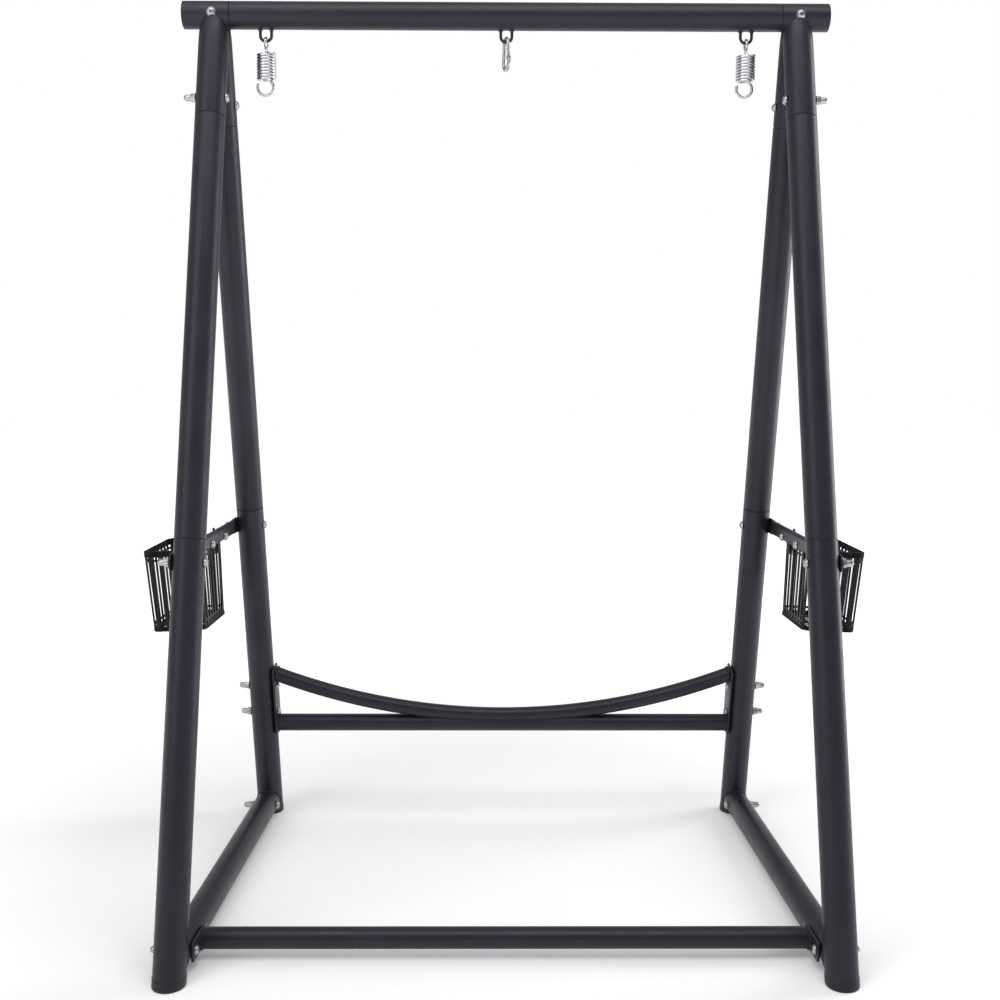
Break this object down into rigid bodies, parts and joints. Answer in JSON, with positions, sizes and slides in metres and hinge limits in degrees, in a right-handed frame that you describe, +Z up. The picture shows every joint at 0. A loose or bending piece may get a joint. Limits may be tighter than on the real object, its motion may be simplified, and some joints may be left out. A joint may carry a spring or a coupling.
{
  "type": "porch swing stand",
  "caption": "A-frame steel tube stand for a hanging swing or chair, with a bar on splayed legs, two hanging springs, a snap hook and a small basket on each side.",
  "frame": {"origin": "on the floor, midway between the four feet", "axes": "+Z up, +X to the right seen from the front, the open front side faces -Y"},
  "size_m": [1.495, 0.9238, 1.83],
  "materials": {
    "frame_paint": "satin charcoal powder coat",
    "plug_plastic": "matte black",
    "basket_weave": "glossy black woven strip",
    "hardware": "bright zinc",
    "spring_steel": "bright plated wire",
    "snap_hook_steel": "satin zinc"
  },
  "bodies": {
    "frame": {"front_cross_rail": "frame_paint", "left_basket": "basket_weave", "left_basket_bolt_1": "hardware", "left_basket_bolt_2": "hardware", "left_corner_connector": "frame_paint", "left_end_plug": "plug_plastic", "left_front_brace_bolt": "hardware", "left_front_foot_cap": "plug_plastic", "left_front_lower_leg": "frame_paint", "left_front_rail_bolt": "hardware", "left_front_stub_bolt": "hardware", "left_front_upper_leg": "frame_paint", "left_loop": "frame_paint", "left_plate_bolt_1": "hardware", "left_plate_bolt_2": "hardware", "left_rear_brace_bolt": "hardware", "left_rear_foot_cap": "plug_plastic", "left_rear_lower_leg": "frame_paint", "left_rear_rail_bolt": "hardware", "left_rear_stub_bolt": "hardware", "left_rear_upper_leg": "frame_paint", "left_side_brace": "frame_paint", "left_side_rail": "frame_paint", "left_sleeve_bolt": "hardware", "middle_loop": "frame_paint", "rear_arc_tube": "frame_paint", "rear_crossbar": "frame_paint", "right_basket": "basket_weave", "right_basket_bolt_1": "hardware", "right_basket_bolt_2": "hardware", "right_corner_connector": "frame_paint", "right_end_plug": "plug_plastic", "right_front_brace_bolt": "hardware", "right_front_foot_cap": "plug_plastic", "right_front_lower_leg": "frame_paint", "right_front_rail_bolt": "hardware", "right_front_stub_bolt": "hardware", "right_front_upper_leg": "frame_paint", "right_loop": "frame_paint", "right_plate_bolt_1": "hardware", "right_plate_bolt_2": "hardware", "right_rear_brace_bolt": "hardware", "right_rear_foot_cap": "plug_plastic", "right_rear_lower_leg": "frame_paint", "right_rear_rail_bolt": "hardware", "right_rear_stub_bolt": "hardware", "right_rear_upper_leg": "frame_paint", "right_side_brace": "frame_paint", "right_side_rail": "frame_paint", "right_sleeve_bolt": "hardware", "top_crossbar": "frame_paint"},
    "left_spring": {"left_spring_eye": "spring_steel", "left_spring_coil": "spring_steel"},
    "left_spring_end": {"left_spring_hook": "spring_steel"},
    "right_spring": {"right_spring_eye": "spring_steel", "right_spring_coil": "spring_steel"},
    "right_spring_end": {"right_spring_hook": "spring_steel"},
    "snap_hook": {"carabiner_body": "snap_hook_steel"},
    "snap_hook_gate": {"carabiner_gate": "snap_hook_steel"}
  },
  "joints": [
    {"name": "left_spring_swing", "type": "hinge", "parent": "frame", "child": "left_spring", "pos_m": [-0.484, 0, 1.7515], "axis": [1, 0, 0], "range_deg": [-60, 60]},
    {"name": "left_spring_stretch", "type": "slide", "parent": "left_spring", "child": "left_spring_end", "axis": [0, 0, -1], "range_m": [0, 0.03], "stiffness_N_per_m": 25000, "deforming": ["left_spring_coil"]},
    {"name": "right_spring_swing", "type": "hinge", "parent": "frame", "child": "right_spring", "pos_m": [0.484, 0, 1.7515], "axis": [1, 0, 0], "range_deg": [-60, 60]},
    {"name": "right_spring_stretch", "type": "slide", "parent": "right_spring", "child": "right_spring_end", "axis": [0, 0, -1], "range_m": [0, 0.03], "stiffness_N_per_m": 25000, "deforming": ["right_spring_coil"]},
    {"name": "snap_hook_swing", "type": "hinge", "parent": "frame", "child": "snap_hook", "pos_m": [0, 0, 1.7515], "axis": [1, 0, 0], "range_deg": [-60, 60]},
    {"name": "snap_hook_gate", "type": "hinge", "parent": "snap_hook", "child": "snap_hook_gate", "pos_m": [0.00451, -0.01238, 1.71905], "axis": [-0.9397, -0.342, 0], "range_deg": [0, 22], "stiffness_Nm_per_rad": 0.2, "springref_deg": -5.73}
  ]
}
